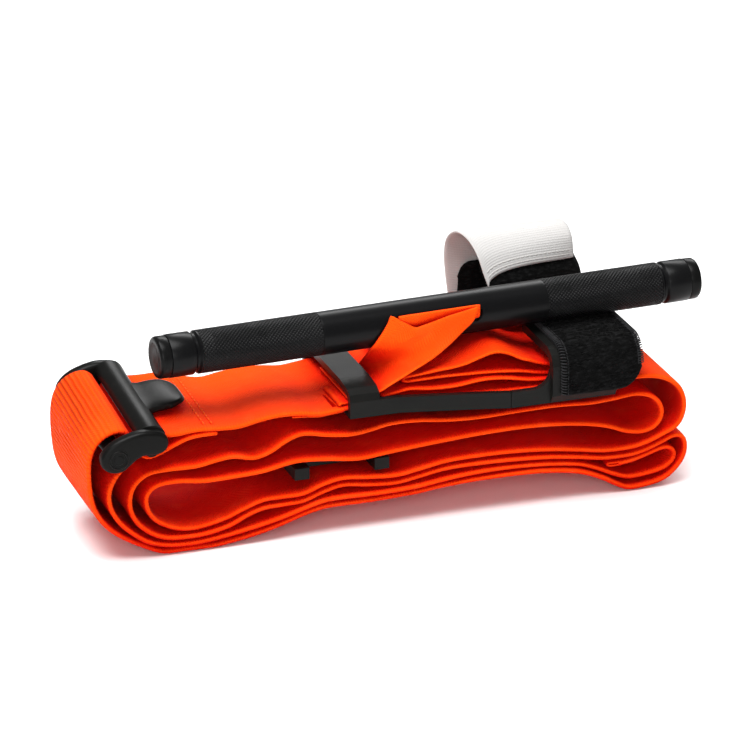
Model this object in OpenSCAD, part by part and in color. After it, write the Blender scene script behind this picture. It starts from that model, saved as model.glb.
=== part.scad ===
// Tourniquet, folded flat for storage: webbing band, buckle, stabiliser plate,
// windlass clip, windlass rod on its ribbon, and time strap.
// Millimetres, +Z up, +X along the folded band towards the clip, -Y the near side.
// Origin: centre of the overall box, on the surface the pack rests on.

/* [Band] */

// Width of the orange webbing
band_w = 38; // [25:1:50]
// Thickness of the webbing
band_t = 1.4; // [0.8:0.1:2.4]

/* [Windlass] */

// Diameter of the windlass rod
rod_d = 12.5; // [8:0.5:16]
// Length of the windlass rod
rod_l = 168; // [120:1:200]
// Height of the rod's axis above the floor
rod_z = 56.3; // [52:0.1:70]
// Angle of the rod to the band, seen from above
rod_yaw = 2.9; // [0:0.1:10]
// Length of the slot through the rod
slot_l = 28; // [20:1:40]
// Height of the slot through the rod
slot_h = 5; // [3:0.5:7]
// Angle of the slot about the rod, near side up
slot_roll = 15; // [0:1:20]

/* [Ribbon] */

// Width of the ribbon through the slot
ribbon_w = 24; // [15:1:26]
// Thickness of the ribbon
ribbon_t = 0.9; // [0.5:0.1:2]

/* [Plate and clip] */

// Width of the stabiliser plate
plate_w = 43; // [40:1:60]
// Width of each clip prong along the band
prong_w = 24; // [15:1:35]
// Wall thickness of the prongs
prong_t = 2.6; // [1.5:0.1:4]
// Thickness of the loop-pile cover on the prongs
pile_t = 1.4; // [0.6:0.1:2.5]
// Distance the far prong sits behind the near one along the band
prong_shift = 15; // [0:1:20]

/* [Buckle] */

// Width of the buckle over its side plates
buckle_w = 48; // [44:1:60]
// Thickness of each side plate
cheek_t = 3.4; // [2:0.1:5]
// Radius of the pin the band runs round
pin_r = 2.5; // [1.5:0.1:4]
// Length of the finger tab
tab_l = 12; // [6:0.5:20]
// Width of the finger tab
tab_w = 17; // [10:1:25]

/* [Time strap] */

// Width of the time strap
time_w = 31; // [20:1:40]
// Thickness of the time strap
time_t = 0.8; // [0.4:0.1:1.5]

/* [Hidden] */

$fn = 64;
curve_steps = 2;
rod_r = rod_d / 2;
rod_x = 15;
rod_y = -4.8;
run_clear = 0.05;
edge_y = band_w / 2;

orange = [0.95, 0.22, 0.03];
black = [0.06, 0.06, 0.06];
white = [0.9, 0.9, 0.88];

// Centreline of the band in X and Z, from the sewn end round the buckle's
// anchor bar to the loose tip tucked into the lower right fold.
sewn_end = [[-54, 35.2], [-58, 35.4], [-62, 35.1], [-66, 33.7], [-70, 31.9], [-73.5, 30.8],
            [-75.8, 31.7], [-76.7, 34], [-75.8, 36.3], [-73.5, 37.2], [-66, 36.7]];
top_run = [[-60, 37.2], [-53, 36.6], [-47, 36.3], [-41, 37.4], [-35, 38],
           [-29, 37.8], [-23, 37], [-18, 37.4], [-12, 38], [-4, 38.2],
           [8, 37.6], [20, 36.7], [34, 36], [50, 35.6], [66, 35.6], [76, 35.3]];
outer_right = [[82, 34], [86.4, 31.2], [88.6, 27], [88.6, 22.4], [86.6, 18.6]];
third_run = [[82, 16.2], [77, 14.2], [72, 13.2], [64, 13.2], [56, 14.6],
             [46, 16.1], [36, 16.8], [25, 17], [15, 16.8], [7, 15.6],
             [0, 14.6], [-8, 15], [-16, 15.8], [-22, 14.8], [-28, 12.8],
             [-34, 12.6], [-40, 12.4], [-46, 10.4], [-51, 8.4], [-57, 7.1]];
inner_left = [[-62, 6.8], [-67, 7.9], [-72, 10.8], [-74.6, 14.6],
              [-74.9, 19], [-72, 22]];
second_run = [[-66, 22.6], [-58, 21.6], [-49, 21.7], [-40, 22.1], [-31, 23.5],
              [-22, 23], [-12, 21.8], [-3, 22.4], [12, 23.4], [26, 24.4],
              [38, 24.6], [50, 23.8], [60, 22.4], [66, 20.8]];
inner_right = [[71, 18.8], [76, 17.9], [80, 19], [82, 22], [81.4, 25.6],
               [78.4, 28.4], [73.6, 29.6]];
first_run = [[68, 29.2], [60, 28.8], [50, 29.3], [36, 29.3], [25, 29.3],
             [15, 29.9], [6, 30.9], [-2, 31], [-8, 30], [-14, 29.4],
             [-21, 30.2], [-28, 31.4], [-33, 30], [-38, 27.2], [-43, 26],
             [-49, 27.4], [-54, 27.2], [-60, 26.4], [-68, 26.6], [-74, 26.2]];
middle_left = [[-77.7, 23.8], [-79.5, 20.4], [-79.7, 16], [-77.9, 11.6],
               [-74, 7.8], [-69, 5.4]];
fourth_run = [[-62, 4.7], [-56, 5], [-50, 6.4], [-45, 8.7], [-40, 10.2],
              [-34, 10.4], [-28, 10.6], [-22, 12.5], [-16, 13.7], [-8, 12.8],
              [0, 12.4], [7, 13.4], [15, 14.6], [25, 14.8], [36, 14.6],
              [46, 13.9], [56, 12.4], [64, 11], [72, 11], [77, 12]];
low_right = [[82, 13.8], [86, 15.3], [88.7, 14.5], [89.7, 11.6], [89, 8],
             [86.6, 4.7], [83, 2.2], [78, 1.02]];
bottom_run = [[72, 0.78], [68, 2.4], [63, 5.3], [56, 8], [46, 9.6], [36, 10.2],
              [25, 10.1], [15, 9.4], [7, 8.5], [0, 8.2], [-8, 8], [-16, 8],
              [-22, 7.8], [-28, 6.5], [-35, 4.4], [-41, 2.9], [-48, 1.6],
              [-54, 0.8], [-57, 0.7], [-59, 0.7], [-62, 0.7], [-65, 0.7],
              [-67, 0.7], [-69.5, 0.78], [-72, 1.5]];
outer_left = [[-75, 2.9], [-80, 5.7], [-84.6, 9], [-88, 12.8], [-90.3, 17.6],
              [-91.3, 24], [-91.3, 31], [-89.8, 36], [-86.6, 39.2],
              [-82.4, 40.3], [-79.7, 38.6]];
pin_return = [[-79.2, 34.4], [-80.4, 30.2], [-83.6, 26.4], [-85.6, 22],
              [-85.4, 17], [-83, 12.2], [-79.2, 8.3], [-74.6, 5], [-69, 3.2]];
fifth_run = [[-62, 2.65], [-56, 2.95], [-48, 4], [-41, 5.3], [-35, 6.6],
             [-28, 8.5], [-22, 9.9], [-16, 10.2], [-8, 10.1], [0, 10.3],
             [7, 10.7], [15, 11.6], [25, 12.3], [36, 12.4], [46, 11.7],
             [56, 10.1], [62, 7.9], [67, 5.6], [72, 3.9], [78, 4.2]];
tip_fold = [[83, 5.3], [85.7, 7.2], [86.3, 9.6], [84.6, 11.3], [82, 11.4],
            [77, 9.9], [73, 8.9], [69, 8.5]];
band_path = concat(sewn_end, top_run, outer_right, third_run, inner_left,
                   second_run, inner_right, first_run, middle_left, fourth_run,
                   low_right, bottom_run, outer_left, pin_return, fifth_run, tip_fold);

// Sleeve plies gathered on the plate under the windlass.
upper_ply_path = [[8, 42.4], [15, 43.6], [21, 45.1], [27, 45.9], [33.2, 44.5],
                  [39, 42.8], [46, 41], [54, 40.2], [66, 39.8]];
lower_ply_path = [[-2, 39.8], [10, 39.4], [20, 39.2], [28, 40.2], [36, 39.8],
                  [45, 38.2], [56, 37.6], [66, 37.6]];

function clamp_index(points, i) = max(0, min(len(points) - 1, i));
function spline_point(p, i, u) =
    let (a = p[clamp_index(p, i - 1)])
    let (b = p[i])
    let (c = p[clamp_index(p, i + 1)])
    let (d = p[clamp_index(p, i + 2)])
    0.5 * (2 * b + u * (c - a) + u * u * (2 * a - 5 * b + 4 * c - d)
           + u * u * u * (3 * b - a - 3 * c + d));
function smooth(p, steps) = concat(
    [for (i = [0 : len(p) - 2]) for (k = [0 : steps - 1]) spline_point(p, i, k / steps)],
    [p[len(p) - 1]]);
function side_point(p, i, off) =
    let (a = p[clamp_index(p, i - 1)])
    let (b = p[clamp_index(p, i + 1)])
    let (d = (b - a) / norm(b - a))
    p[i] + off * [-d[1], d[0]];
function ribbon_outline(p, t) = concat(
    [for (i = [0 : len(p) - 1]) side_point(p, i, t / 2)],
    [for (i = [len(p) - 1 : -1 : 0]) side_point(p, i, -t / 2)]);

// Extrudes an outline drawn in X and Z along Y, centred on y_mid.
module along_y(w, y_mid = 0) {
    translate([0, y_mid + w / 2, 0])
        rotate([90, 0, 0])
            linear_extrude(w)
                children();
}

// Extrudes an outline drawn in Y and Z along X from x_from.
module along_x(w, x_from) {
    translate([x_from, 0, 0])
        rotate([90, 0, 90])
            linear_extrude(w)
                children();
}

module strip(p, t, w, y_mid = 0) {
    along_y(w, y_mid)
        polygon(ribbon_outline(smooth(p, curve_steps), t));
}

// Places children in the rod's own frame: X along the rod, origin on its axis.
module rod_frame() {
    translate([rod_x, rod_y, rod_z])
        rotate([0, 0, rod_yaw])
            children();
}

// Endless-looking folded webbing with the slit its inner ribbon leaves by.
slit_x = -19.4;
slit_y = -17.5;
slit_len = 26;
module band_webbing() {
    color(orange)
        difference() {
            strip(band_path, band_t, band_w);
            translate([slit_x, slit_y, 35])
                cube([1.6, slit_len, 5]);
        }
}

// Doubled, sewn tip of the webbing, tucked into the lower right fold.
module band_tip_hem() {
    color(orange)
        translate([65.4, -edge_y + 0.5, 8])
            cube([3.3, band_w - 1, 1.1]);
}

// Two rows of thread that close the loop round the anchor bar.
module end_loop_stitches() {
    color(orange)
        for (x = [-57, -54.6])
            translate([x, -16, 37.8])
                cube([0.5, 32, 0.3]);
}

module upper_sleeve_ply() {
    color(orange)
        strip(upper_ply_path, band_t, band_w - 4);
}

module lower_sleeve_ply() {
    color(orange)
        strip(lower_ply_path, 0.9, band_w - 2);
}

// Part of the ribbon between the slit in the band and the far side of the arch.
module ribbon_anchor_run() {
    color(orange)
        translate([-17, -18, 39.7])
            cube([10.2, ribbon_w, ribbon_t]);
}

// Ribbon: up the near side of the rod, through its slot, down the far side.
ribbon_half = ribbon_w / 2;
ribbon_gap = 0.4;
near_ribbon = [[-24.4, -8.3], [-17.6, -15.6], [-3, -9.2], [ribbon_half, -0.8],
               [ribbon_half, 0.45], [-ribbon_half, 0.45]];
far_ribbon = [[-ribbon_half, 0.45], [ribbon_half, 0.45], [20, -9.3], [-4, -9.3]];
module windlass_ribbon() {
    reach = rod_r + ribbon_gap + ribbon_t;
    color(orange)
        rod_frame()
            union() {
                along_y(ribbon_t, -reach + ribbon_t / 2)
                    polygon(near_ribbon);
                translate([-ribbon_half, -reach, -0.45])
                    cube([ribbon_w, 2 * reach, 0.9]);
                along_y(ribbon_t, reach - ribbon_t / 2)
                    polygon(far_ribbon);
            }
}

// Stabiliser plate: shallow tray under the band, with a bridge over its left end.
plate_line = [[-15, 35.1], [0, 35.1], [12, 34], [25, 32.8], [33.8, 31.9]];
floor_t = 1.6;
rim_h = 4.8;
rim_in = 19.6;
bridge_w = 9;
module raised(line, h) {
    polygon(concat(line, [for (i = [len(line) - 1 : -1 : 0]) line[i] + [0, h]]));
}
bridge_outer = [[-21.5, 35.2], [-21.5, 40], [-20.6, 42], [-18.5, 43.3], [-12, 44],
                [12, 44], [18.5, 43.3], [20.6, 42], [21.5, 40], [21.5, 35.2]];
bridge_inner = [[19.6, 35.2], [19.6, 39.6], [18.8, 40.8], [17, 41.5], [11.5, 42],
                [-11.5, 42], [-17, 41.5], [-18.8, 40.8], [-19.6, 39.6], [-19.6, 35.2]];
module stabiliser_plate() {
    rim_w = plate_w / 2 - rim_in;
    rim_mid = rim_in + rim_w / 2;
    color(black)
        union() {
            along_y(plate_w)
                raised(plate_line, floor_t);
            for (s = [-1, 1])
                along_y(rim_w, s * rim_mid)
                    raised(plate_line, rim_h);
            along_x(bridge_w, -15)
                polygon(concat(bridge_outer, bridge_inner));
        }
}

// Windlass clip: continues the tray and carries two hooked prongs. Each prong's
// plastic shows beyond one edge of its cover by prong_margin.
clip_from = 34;
clip_to = 66;
near_prong_x = 49;
far_prong_x = near_prong_x - prong_shift;
clip_z = 31.9;
prong_margin = 3;
prong_y = 23.2;
prong_top = 48.2;
bend_r = 6;
near_tip = 2;
far_tip = -8;
// Quarter bend about (cy, cz), from the vertical wall to the level top.
function bend(cy, cz, r) = [for (a = [180 : -11.25 : 90]) [cy + r * cos(a), cz + r * sin(a)]];
function bend_back(cy, cz, r) = [for (a = [90 : 11.25 : 180]) [cy + r * cos(a), cz + r * sin(a)]];
bend_y = -prong_y + bend_r;
bend_z = prong_top - bend_r;
function prong_outline(tip) = concat(
    [[-plate_w / 2, clip_z], [-prong_y, 34.4]],
    bend(bend_y, bend_z, bend_r),
    [[tip, prong_top], [tip, prong_top - prong_t]],
    bend_back(bend_y, bend_z, bend_r - prong_t),
    [[-prong_y + prong_t, clip_z + floor_t], [-prong_y + prong_t, clip_z]]);
function cover_outline(tip, r_in, r_out) = concat(
    [[-prong_y - (r_in - bend_r), 34.6], [-prong_y - (r_out - bend_r), 34.6]],
    bend(bend_y, bend_z, r_out),
    [[tip, bend_z + r_out], [tip, bend_z + r_in]],
    bend_back(bend_y, bend_z, r_in));
// Everything outside the rounded lower corner at the near prong's free end.
corner_r = 7;
module corner_waste(r) {
    along_y(12, -prong_y)
        difference() {
            translate([clip_to, 30])
                square([10, 11.6]);
            translate([clip_to, 41.6])
                circle(r);
        }
}

// Web that rounds the corner between the near rim and the prong's edge.
web_r = 5;
module fillet_up() {
    corner_x = near_prong_x - prong_margin;
    corner_z = clip_z + rim_h;
    along_y(plate_w / 2 - rim_in, -(plate_w / 2 + rim_in) / 2)
        difference() {
            translate([corner_x - web_r, corner_z - 0.5])
                square([web_r + 1, web_r + 0.5]);
            translate([corner_x - web_r, corner_z + web_r])
                circle(web_r);
        }
}

module windlass_clip() {
    rim_w = plate_w / 2 - rim_in;
    color(black)
        union() {
            translate([clip_from, -plate_w / 2, clip_z])
                cube([clip_to - clip_from, plate_w, floor_t]);
            translate([clip_from, -plate_w / 2, clip_z])
                cube([near_prong_x - clip_from, rim_w, rim_h]);
            fillet_up();
            translate([far_prong_x + prong_w, rim_in, clip_z])
                cube([clip_to - far_prong_x - prong_w, rim_w, rim_h]);
            difference() {
                along_x(prong_w + prong_margin, near_prong_x - prong_margin)
                    polygon(prong_outline(near_tip));
                corner_waste(corner_r);
            }
            mirror([0, 1, 0])
                along_x(prong_w + prong_margin, far_prong_x)
                    polygon(prong_outline(far_tip));
        }
}

// Loop-pile fabric bonded over the outside of each prong.
cover_r = bend_r + pile_t;
module near_pile_cover() {
    color(black)
        difference() {
            along_x(prong_w, near_prong_x)
                polygon(cover_outline(near_tip, bend_r, cover_r));
            corner_waste(corner_r);
        }
}

module far_pile_cover() {
    color(black)
        mirror([0, 1, 0])
            along_x(prong_w, far_prong_x)
                polygon(cover_outline(far_tip, bend_r, cover_r));
}

// Overlocked edges of the covers.
edging_w = 0.8;
edging_r = cover_r + 0.2;
module near_cover_edging() {
    color(black)
        difference() {
            for (x = [near_prong_x - edging_w, near_prong_x + prong_w])
                along_x(edging_w, x)
                    polygon(cover_outline(near_tip, bend_r, edging_r));
            corner_waste(corner_r + edging_w);
        }
}

module far_cover_edging() {
    color(black)
        mirror([0, 1, 0])
            for (x = [far_prong_x - edging_w, far_prong_x + prong_w])
                along_x(edging_w, x)
                    polygon(cover_outline(far_tip, bend_r, edging_r));
}

// Time strap: a sewn base on the far prong and an arched flap that folds back.
time_x = 32;
base_y = 25.9;
module time_strap_base() {
    color(white)
        along_x(time_w, time_x)
            polygon([[base_y - time_t / 2, 36], [base_y + time_t / 2, 36],
                     [base_y + time_t / 2, 48.2], [base_y - time_t / 2, 48.2]]);
}

module time_strap_base_stitch() {
    color(white)
        for (z = [38, 45])
            translate([time_x + 2, base_y + time_t / 2 + 0.02, z])
                cube([time_w - 4, 0.3, 0.5]);
}

flap_path = [[25.9, 49.3], [26.6, 56], [26.2, 63], [23.4, 68.6], [18, 71],
             [13.2, 69], [10.8, 64], [10, 58.5]];
hook_path = [[12.3, 63.6], [11.4, 59.5], [11.3, 55.5], [12.3, 52.5],
             [15, 51], [19, 50.8]];
module time_strap() {
    color(white)
        along_x(time_w, time_x)
            polygon(ribbon_outline(smooth(flap_path, curve_steps), time_t));
}

module time_strap_hook() {
    color(black)
        along_x(time_w, time_x)
            polygon(ribbon_outline(smooth(hook_path, curve_steps), time_t));
}

backing_r = 4;
module time_strap_backing() {
    color(black)
        translate([0, 25.3, 0])
            rotate([90, 0, 0])
                linear_extrude(0.8) {
                    translate([35, 50.6])
                        square([25, 5]);
                    translate([35 + backing_r, 55])
                        square([25 - 2 * backing_r, 4.5]);
                    for (x = [35 + backing_r, 60 - backing_r])
                        translate([x, 59.5 - backing_r])
                            circle(backing_r);
                }
}

module time_strap_stitches() {
    color(white) {
        translate([time_x + 1, 9.36, 59.8])
            cube([time_w - 2, 0.3, 0.4]);
        translate([time_x + 1, 9.52, 61.3])
            cube([time_w - 2, 0.3, 0.4]);
    }
}

// Buckle: two bean-shaped cheeks, top crossbar with finger tab, anchor bar.
cheek_in = buckle_w / 2 - cheek_t;
pin_x = -83.7;
pin_z = 33.3;
anchor_x = -73.5;
anchor_z = 34;
hole_depth = 2.2;
module cheek_outline() {
    translate([-84, 33.6])
        circle(5.8);
    translate([-73.8, 37])
        circle(4.8);
    polygon([[-86.5, 38.8], [-75, 41.65], [-69.6, 39.4], [-70.4, 33.7],
             [-74.6, 32.3], [-79.4, 30]]);
}

module buckle_frame() {
    color(black)
        difference() {
            union() {
                for (s = [-1, 1])
                    along_y(cheek_t, s * (cheek_in + cheek_t / 2))
                        cheek_outline();
                along_y(2 * cheek_in + 0.4)
                    polygon([[-77.4, 38.3], [-77.4, 40], [-76.4, 41], [-71, 41],
                             [-70, 40], [-70, 38.3]]);
                translate([anchor_x, cheek_in + 0.2, anchor_z])
                    rotate([90, 0, 0])
                        cylinder(h = 2 * cheek_in + 0.4, r = 2);
                translate([-71, -tab_w / 2, 38.9])
                    cube([tab_l - 3, tab_w, 2.1]);
                translate([-71, -tab_w / 2 + 4, 38.9])
                    cube([tab_l + 1, tab_w - 8, 2.1]);
                for (s = [-1, 1])
                    translate([tab_l - 74, s * (tab_w / 2 - 4), 38.9])
                        cylinder(h = 2.1, r = 4);
            }
            translate([pin_x, cheek_in + hole_depth, pin_z])
                rotate([90, 0, 0])
                    cylinder(h = 2 * (cheek_in + hole_depth), r = pin_r + run_clear);
            for (s = [-1, 1])
                translate([pin_x, s * buckle_w / 2, pin_z])
                    rotate([90, 0, 0])
                        cylinder(h = 1.4, r = 1.5, center = true);
        }
}

module buckle_pin() {
    half = cheek_in + hole_depth - 0.1;
    color(black)
        translate([pin_x, half, pin_z])
            rotate([90, 0, 0])
                cylinder(h = 2 * half, r = pin_r);
}

// Keeper lying between the folded runs: two cross bars joined by two inset rails.
module strap_keeper() {
    color(black)
        translate([-30.5, -18, 16.9])
            union() {
                for (x = [0, 24.1])
                    translate([x, 0, 0])
                        cube([4.4, 36, 3.5]);
                for (y = [4.5, 28.5])
                    translate([0.2, y, 1.8])
                        cube([28.1, 3, 1.7]);
            }
}

// Windlass rod, turned, with a slot through its middle and a plug in each end.
cap_len = 3.5;
neck_at = 11.4;
neck_half = 1;
neck_deep = 0.6;
plug_r = 3.4;
plug_len = 8;
module windlass_rod() {
    half = rod_l / 2 - cap_len;
    neck = rod_l / 2 - neck_at;
    color(black)
        rod_frame()
            difference() {
                rotate([0, 90, 0])
                    rotate_extrude()
                        polygon([[0, -half], [rod_r, -half],
                                 [rod_r, -neck - neck_half], [rod_r - neck_deep, -neck],
                                 [rod_r, -neck + neck_half], [rod_r, neck - neck_half],
                                 [rod_r - neck_deep, neck], [rod_r, neck + neck_half],
                                 [rod_r, half], [0, half]]);
                for (s = [-1, 1])
                    translate([s * (half - plug_len / 2), 0, 0])
                        rotate([0, 90, 0])
                            cylinder(h = plug_len + 0.6, r = plug_r + run_clear, center = true);
                rotate([-slot_roll, 0, 0]) {
                    translate([-(slot_l - slot_h) / 2, -rod_d, -slot_h / 2])
                        cube([slot_l - slot_h, 2 * rod_d, slot_h]);
                    for (s = [-1, 1])
                        translate([s * (slot_l - slot_h) / 2, 0, 0])
                            rotate([90, 0, 0])
                                cylinder(h = 2 * rod_d, r = slot_h / 2, center = true);
                }
            }
}

// End plug, chamfered, drawn for the +X end of the rod.
module rod_cap() {
    from = rod_l / 2 - cap_len;
    rotate([0, 90, 0])
        rotate_extrude()
            polygon([[0, from - plug_len + 0.1], [plug_r, from - plug_len + 0.1],
                     [plug_r, from + 0.02], [rod_r - 0.15, from + 0.02],
                     [rod_r - 0.15, rod_l / 2 - 0.9], [rod_r - 1, rod_l / 2],
                     [0, rod_l / 2]]);
}

module rod_cap_right() {
    color(black)
        rod_frame()
            rod_cap();
}

module rod_cap_left() {
    color(black)
        rod_frame()
            rotate([0, 0, 180])
                rod_cap();
}

// Moves the drawing so that the overall box is centred on the origin.
module placed() {
    translate([-3.5, -1.1, 0])
        children();
}

placed() band_webbing();
placed() band_tip_hem();
placed() end_loop_stitches();
placed() upper_sleeve_ply();
placed() lower_sleeve_ply();
placed() ribbon_anchor_run();
placed() windlass_ribbon();
placed() stabiliser_plate();
placed() windlass_clip();
placed() near_pile_cover();
placed() far_pile_cover();
placed() near_cover_edging();
placed() far_cover_edging();
placed() time_strap_base();
placed() time_strap_base_stitch();
placed() time_strap();
placed() time_strap_hook();
placed() time_strap_backing();
placed() time_strap_stitches();
placed() buckle_frame();
placed() buckle_pin();
placed() strap_keeper();
placed() windlass_rod();
placed() rod_cap_left();
placed() rod_cap_right();
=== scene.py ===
import math
import random

import bmesh
import bpy
import numpy as np
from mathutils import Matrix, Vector


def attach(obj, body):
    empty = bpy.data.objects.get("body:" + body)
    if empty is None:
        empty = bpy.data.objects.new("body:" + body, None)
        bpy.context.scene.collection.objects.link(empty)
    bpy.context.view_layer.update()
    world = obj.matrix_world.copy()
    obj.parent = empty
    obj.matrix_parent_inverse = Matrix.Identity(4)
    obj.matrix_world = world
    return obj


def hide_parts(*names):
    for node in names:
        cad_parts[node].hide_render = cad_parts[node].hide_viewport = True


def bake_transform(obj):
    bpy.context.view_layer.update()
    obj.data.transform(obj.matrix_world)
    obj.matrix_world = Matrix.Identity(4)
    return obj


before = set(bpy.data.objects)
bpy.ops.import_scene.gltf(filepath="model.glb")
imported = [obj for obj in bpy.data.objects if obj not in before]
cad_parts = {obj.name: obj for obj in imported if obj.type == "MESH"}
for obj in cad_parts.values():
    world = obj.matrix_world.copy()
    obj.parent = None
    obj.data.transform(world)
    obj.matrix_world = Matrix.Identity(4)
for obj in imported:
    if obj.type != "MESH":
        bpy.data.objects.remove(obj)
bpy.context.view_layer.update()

# Lengths below are millimetres in the part's drawing, whose origin sits at DRAWING in the frame.
MM = 0.001
DRAWING = np.array([-3.5, -1.1, 0.0])


def to_frame(points):
    return (np.asarray(points, float) + DRAWING) * MM


# ---------------------------------------------------------------- curves and grids
def spline(points, steps):
    """Catmull-Rom curve through the points, with that many steps in each span."""
    p = np.asarray(points, float)
    a = np.vstack([p[:1], p[:-1]])[:-1]
    b, c = p[:-1], p[1:]
    d = np.vstack([p[2:], p[-1:]])
    out = []
    for k in range(steps):
        u = k / steps
        out.append(0.5 * (2 * b + u * (c - a) + u * u * (2 * a - 5 * b + 4 * c - d)
                          + u ** 3 * (3 * b - a - 3 * c + d)))
    curve = np.stack(out, 1).reshape(-1, p.shape[1])
    return np.vstack([curve, p[-1:]])


def arc(points):
    """Length along the points, from the first one."""
    return np.concatenate([[0], np.cumsum(np.linalg.norm(np.diff(points, axis=0), axis=1))])


def resample(points, count, length=None):
    """That many points, evenly spaced over the first part of the curve of that length."""
    s = arc(points)
    at = np.linspace(0, s[-1] if length is None else length, count)
    return np.stack([np.interp(at, s, points[:, k]) for k in range(points.shape[1])], 1)


def ease(x, lo, hi):
    t = np.clip((np.asarray(x, float) - lo) / (hi - lo), 0, 1)
    return t * t * (3 - 2 * t)


def unit(v):
    return v / np.maximum(np.linalg.norm(v, axis=-1, keepdims=True), 1e-9)


# ---------------------------------------------------------------- meshes
def mesh_object(name, verts, faces, material, uv=None, rib=None, sharp=None):
    """Object from points in the drawing's millimetres; uv is the place along and across a strap."""
    me = bpy.data.meshes.new(name)
    me.from_pydata(to_frame(verts).tolist(), [], faces)
    if uv is not None:
        layer = me.uv_layers.new(name="strap")
        index = np.empty(len(me.loops), int)
        me.loops.foreach_get("vertex_index", index)
        layer.data.foreach_set("uv", (np.asarray(uv, float)[index] * MM).ravel())
    if rib is not None:
        values = me.attributes.new("rib", "FLOAT", "POINT").data
        values.foreach_set("value", np.asarray(rib, np.float32))
    bm = bmesh.new()
    bm.from_mesh(me)
    bmesh.ops.recalc_face_normals(bm, faces=bm.faces)
    bm.to_mesh(me)
    bm.free()
    me.shade_smooth()
    if sharp:
        me.set_sharp_from_angle(angle=math.radians(sharp))
    me.materials.append(material)
    obj = bpy.data.objects.new(name, me)
    bpy.context.scene.collection.objects.link(obj)
    return obj


def sheet_data(grid, thick, rib=None, u_from=0.0, inset=0.82):
    """Vertices, faces and strap coordinates of a sheet with rounded edges about a grid of points."""
    grid = np.asarray(grid, float)
    nu, nv = grid.shape[:2]
    normal = unit(np.cross(np.gradient(grid, axis=0), np.gradient(grid, axis=1)))
    half = np.full((nu, nv, 1), thick / 2) if np.isscalar(thick) else thick[:, :, None] / 2
    edge = np.ones((nu, nv, 1))
    edge[[0, -1], :] = inset
    edge[:, [0, -1]] = inset
    top = (grid + normal * half * edge).reshape(-1, 3)
    low = (grid - normal * half * edge).reshape(-1, 3)
    along = u_from + arc(grid[:, nv // 2])[:, None] + np.zeros((1, nv))
    across = np.cumsum(np.linalg.norm(np.diff(grid, axis=1, prepend=grid[:, :1]), axis=2), 1)
    across -= across[:, -1:] / 2
    uv = np.stack([along, across], 2).reshape(-1, 2)
    ring = ([(0, j) for j in range(nv)] + [(i, nv - 1) for i in range(1, nu)]
            + [(nu - 1, j) for j in range(nv - 2, -1, -1)] + [(i, 0) for i in range(nu - 2, 0, -1)])
    rim = []
    for i, j in ring:
        out = np.zeros(3)
        if i in (0, nu - 1):
            out += unit(grid[i, j] - grid[1 if i == 0 else nu - 2, j])
        if j in (0, nv - 1):
            out += unit(grid[i, j] - grid[i, 1 if j == 0 else nv - 2])
        rim.append(grid[i, j] + unit(out) * half[i, j] * 0.8)
    n = nu * nv
    faces = []
    for i in range(nu - 1):
        for j in range(nv - 1):
            a = i * nv + j
            faces.append((a, a + 1, a + nv + 1, a + nv))
            faces.append((n + a, n + a + nv, n + a + nv + 1, n + a + 1))
    for k, (i, j) in enumerate(ring):
        i2, j2 = ring[(k + 1) % len(ring)]
        r, r2 = 2 * n + k, 2 * n + (k + 1) % len(ring)
        a, b = i * nv + j, i2 * nv + j2
        faces.append((a, r, r2, b))
        faces.append((n + a, n + b, r2, r))
    pick = [i * nv + j for i, j in ring]
    uv = np.vstack([uv, uv, uv[pick]])
    ribs = None
    if rib is not None:
        flat = np.asarray(rib, float).reshape(-1)
        ribs = np.concatenate([flat, flat, flat[pick]])
    return np.vstack([top, low, rim]), faces, uv, ribs


def merge(parts):
    """One set of vertices, faces, strap coordinates and ribs from several."""
    verts, faces, uvs, ribs, base = [], [], [], [], 0
    for v, f, uv, rib in parts:
        verts.append(v)
        faces += [tuple(i + base for i in face) for face in f]
        uvs.append(uv if uv is not None else np.zeros((len(v), 2)))
        ribs.append(rib if rib is not None else np.zeros(len(v)))
        base += len(v)
    return np.vstack(verts), faces, np.vstack(uvs), np.concatenate(ribs)


def tube_data(points, radius, sides=6, closed=False):
    """A round thread or bar along the points, with closed ends."""
    p = np.asarray(points, float)
    n = len(p)
    if closed:
        tangent = unit(np.roll(p, -1, 0) - np.roll(p, 1, 0))
    else:
        tangent = unit(np.gradient(p, axis=0))
    ref = np.array([0.0, 0.0, 1.0])
    if abs(tangent[0] @ ref) > 0.9:
        ref = np.array([0.0, 1.0, 0.0])
    side = unit(np.cross(tangent[0], ref))
    verts = []
    radii = np.full(n, radius) if np.isscalar(radius) else radius
    for k in range(n):
        side = unit(side - tangent[k] * (side @ tangent[k]))
        up = np.cross(tangent[k], side)
        for m in range(sides):
            a = 2 * math.pi * m / sides
            verts.append(p[k] + radii[k] * (math.cos(a) * side + math.sin(a) * up))
    faces = []
    for k in range(n if closed else n - 1):
        for m in range(sides):
            a, b = k * sides + m, k * sides + (m + 1) % sides
            c, d = (k + 1) % n * sides + (m + 1) % sides, (k + 1) % n * sides + m
            faces.append((a, b, c, d))
    if not closed:
        faces.append(tuple(range(sides - 1, -1, -1)))
        faces.append(tuple((n - 1) * sides + m for m in range(sides)))
    return np.array(verts), faces, None, None


def stitch_row(curve, pitch, length, radius, lift):
    """Thread showing as short humped stitches along a curve; lift is a vector off the cloth."""
    curve = np.asarray(curve, float)
    s = arc(curve)
    lift = np.asarray(lift, float)
    parts = []
    for k in range(int(s[-1] // pitch)):
        at = np.linspace(k * pitch, k * pitch + length, 5)
        pts = np.stack([np.interp(at, s, curve[:, m]) for m in range(3)], 1)
        hump = np.sin(np.linspace(0, math.pi, 5))[:, None]
        taper = radius * (0.55 + 0.45 * np.sin(np.linspace(0, math.pi, 5)))
        parts.append(tube_data(pts + lift * (0.25 + 0.75 * hump), taper, 5))
    return merge(parts)


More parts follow.
